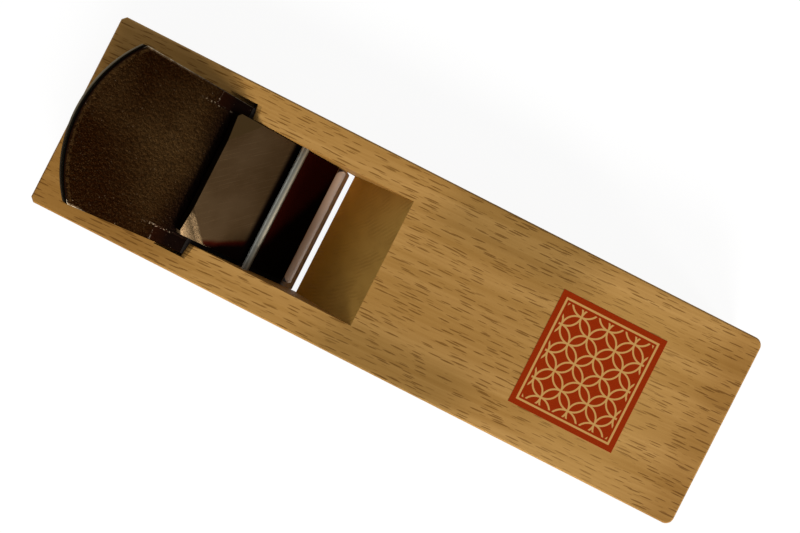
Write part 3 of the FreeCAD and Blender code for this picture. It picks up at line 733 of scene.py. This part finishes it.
def red_print():
    """A red printed panel: a plain frame round a lattice of linked circles, left open to the wood."""
    ink = Surface("red_print")
    x = ink.minus(ink.axis("X"), LABEL_CENTRE[0])
    y = ink.minus(ink.axis("Y"), LABEL_CENTRE[1])
    outward = ink.most(ink.minus(ink.off(x), LABEL_HALF[0] - PRINT_BORDER),
                       ink.minus(ink.off(y), LABEL_HALF[1] - PRINT_BORDER))
    frame_line = ink.near(outward, 0, PRINT_LINE)
    field = ink.ramp(outward, -PRINT_GAP + 0.05, -PRINT_GAP - 0.05)
    circles = ink.most(circle_lattice(ink, x, y, 0), circle_lattice(ink, x, y, CIRCLE_RADIUS))
    open_wood = ink.most(frame_line, ink.times(circles, field))
    mottle = ink.noise((0.5, 0.5, 0.5))
    streaks = ink.ramp(ink.noise((7, 0.25, 0.4)), 0.5, 0.8)
    red = ink.mix(mottle, RED_DARK, RED_LIGHT)
    red = ink.mix(streaks, red, RED_DARK, 0.3)
    ink.set(base_color=ink.mix(open_wood, red, OAK_LIGHT), roughness=0.6, specular_ior_level=0.04)
    return ink.material


def dress(node, materials, edge_width):
    """Give a CAD node its finish, and ease its edges by edge_width millimetres.

    A second material is for the eased edges.
    """
    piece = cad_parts[node]
    piece.data.materials.clear()
    for material in materials:
        piece.data.materials.append(material)
    join = piece.modifiers.new("joined_faces", "WELD")
    join.merge_threshold = SAME_POINT * MM
    clean = piece.modifiers.new("flat_faces", "DECIMATE")
    clean.decimate_type = "DISSOLVE"
    clean.angle_limit = math.radians(FLAT_ANGLE)
    ease = piece.modifiers.new("eased_edges", "BEVEL")
    ease.width = edge_width * MM
    ease.segments = 2
    ease.limit_method = "ANGLE"
    ease.angle_limit = math.radians(SHARP_ANGLE)
    ease.harden_normals = True
    ease.material = len(materials) - 1


def make_camera():
    """The camera looks straight down on the plane, which lies aslant in the frame."""
    data = bpy.data.cameras.new("camera")
    data.sensor_width = SENSOR_WIDTH
    data.lens = LENS
    camera = bpy.data.objects.new("camera", data)
    camera.location = (CAMERA_PLACE[0] * MM, CAMERA_PLACE[1] * MM, stock_high.z + CAMERA_OVER_TOP * MM)
    camera.rotation_euler = (0, 0, math.radians(CAMERA_TURN))
    bpy.context.scene.collection.objects.link(camera)
    bpy.context.scene.camera = camera


def make_sun(name, towards, strength, spread):
    """A soft distant lamp that stands in the given direction and is spread degrees wide."""
    data = bpy.data.lights.new(name, "SUN")
    data.angle = math.radians(spread)
    data.energy = strength
    data.color = DAYLIGHT
    lamp = bpy.data.objects.new(name, data)
    lamp.rotation_euler = Vector(towards).to_track_quat("Z", "Y").to_euler()
    bpy.context.scene.collection.objects.link(lamp)


def seen_directly(tree):
    """1 for what the camera sees, also in metal or through glass, and 0 for light on its way elsewhere."""
    path = tree.nodes.new("ShaderNodeLightPath")
    total = path.outputs["Is Camera Ray"]
    for name in ("Is Glossy Ray", "Is Transmission Ray"):
        add = tree.nodes.new("ShaderNodeMath")
        add.operation = "MAXIMUM"
        tree.links.new(total, add.inputs[0])
        tree.links.new(path.outputs[name], add.inputs[1])
        total = add.outputs[0]
    return total


def map_range(tree, value, to_low, to_high, from_low=0.0, from_high=1.0):
    """A node that carries a value from one range to another."""
    node = tree.nodes.new("ShaderNodeMapRange")
    tree.links.new(value, node.inputs["Value"])
    node.inputs["From Min"].default_value = from_low
    node.inputs["From Max"].default_value = from_high
    node.inputs["To Min"].default_value = to_low
    node.inputs["To Max"].default_value = to_high
    return node


def make_world():
    """White all round and dim straight overhead, where the camera hangs."""
    world = bpy.data.worlds.new("studio")
    world.use_nodes = True
    bpy.context.scene.world = world
    tree = world.node_tree
    background = tree.nodes["Background"]
    direction = tree.nodes.new("ShaderNodeTexCoord")
    height = tree.nodes.new("ShaderNodeSeparateXYZ")
    tree.links.new(direction.outputs["Generated"], height.inputs[0])
    overhead = map_range(tree, height.outputs["Z"], 1.0, OVERHEAD_SHARE, *OVERHEAD)
    overhead.interpolation_type = "SMOOTHSTEP"
    tree.links.new(overhead.outputs["Result"], background.inputs["Color"])
    strength = map_range(tree, seen_directly(tree), AMBIENT, 1.0)
    tree.links.new(strength.outputs["Result"], background.inputs["Strength"])


def mix_shader(tree, share, first, second):
    """Between two shaders: the first where share is 0, the second where it is 1."""
    node = tree.nodes.new("ShaderNodeMixShader")
    for value, socket in zip((share, first, second), node.inputs):
        tree.links.new(value, socket)
    return node.outputs[0]


def diffuse(tree, grey):
    node = tree.nodes.new("ShaderNodeBsdfDiffuse")
    node.inputs["Color"].default_value = (grey, grey, grey, 1)
    return node.outputs[0]


def white_floor():
    """White with the object's shadow on it, grey for light that it sends on, and clear from beneath."""
    material = bpy.data.materials.new("white_floor")
    material.use_nodes = True
    tree = material.node_tree
    tree.nodes.clear()
    output = tree.nodes.new("ShaderNodeOutputMaterial")
    glow = tree.nodes.new("ShaderNodeEmission")
    glow.inputs["Strength"].default_value = FLOOR_GLOW
    white = tree.nodes.new("ShaderNodeAddShader")
    tree.links.new(diffuse(tree, FLOOR_SHOWN), white.inputs[0])
    tree.links.new(glow.outputs[0], white.inputs[1])
    top = mix_shader(tree, seen_directly(tree), diffuse(tree, FLOOR_LIT), white.outputs[0])
    side = tree.nodes.new("ShaderNodeNewGeometry")
    glass = tree.nodes.new("ShaderNodeBsdfTransparent")
    both = mix_shader(tree, side.outputs["Backfacing"], top, glass.outputs[0])
    tree.links.new(both, output.inputs["Surface"])
    return material


def make_floor():
    """A wide flat floor, just under the sole."""
    half = FLOOR_HALF * MM
    mesh = bpy.data.meshes.new("floor")
    mesh.from_pydata([(-half, -half, 0), (half, -half, 0), (half, half, 0), (-half, half, 0)], [],
                     [(0, 1, 2, 3)])
    mesh.materials.append(white_floor())
    floor = bpy.data.objects.new("floor", mesh)
    floor.location.z = cad_low.z - FLOOR_DROP * MM
    bpy.context.scene.collection.objects.link(floor)


make_camera()
make_world()
make_floor()
make_sun("key", towards=(0.63, -1.4, 1.0), strength=3.1, spread=26)
make_sun("glancing", towards=(3.0, -1.35, 1.0), strength=1.8, spread=12)
bpy.context.scene.view_settings.view_transform = "Standard"

dress("plane_body", [oak()], 0.3)
dress("blade_iron", [forged_blade(), worn_and_lit_blade_arris()], 0.28)
dress("blade_steel", [blade_steel()], 0.05)
dress("chip_breaker_iron", [forged_breaker(), worn_breaker()], 0.08)
dress("chip_breaker_steel", [frosted_steel()], 0.05)
dress("retaining_pin", [drawn_steel()], 0.2)
dress("label_panel", [red_print()], 0.02)
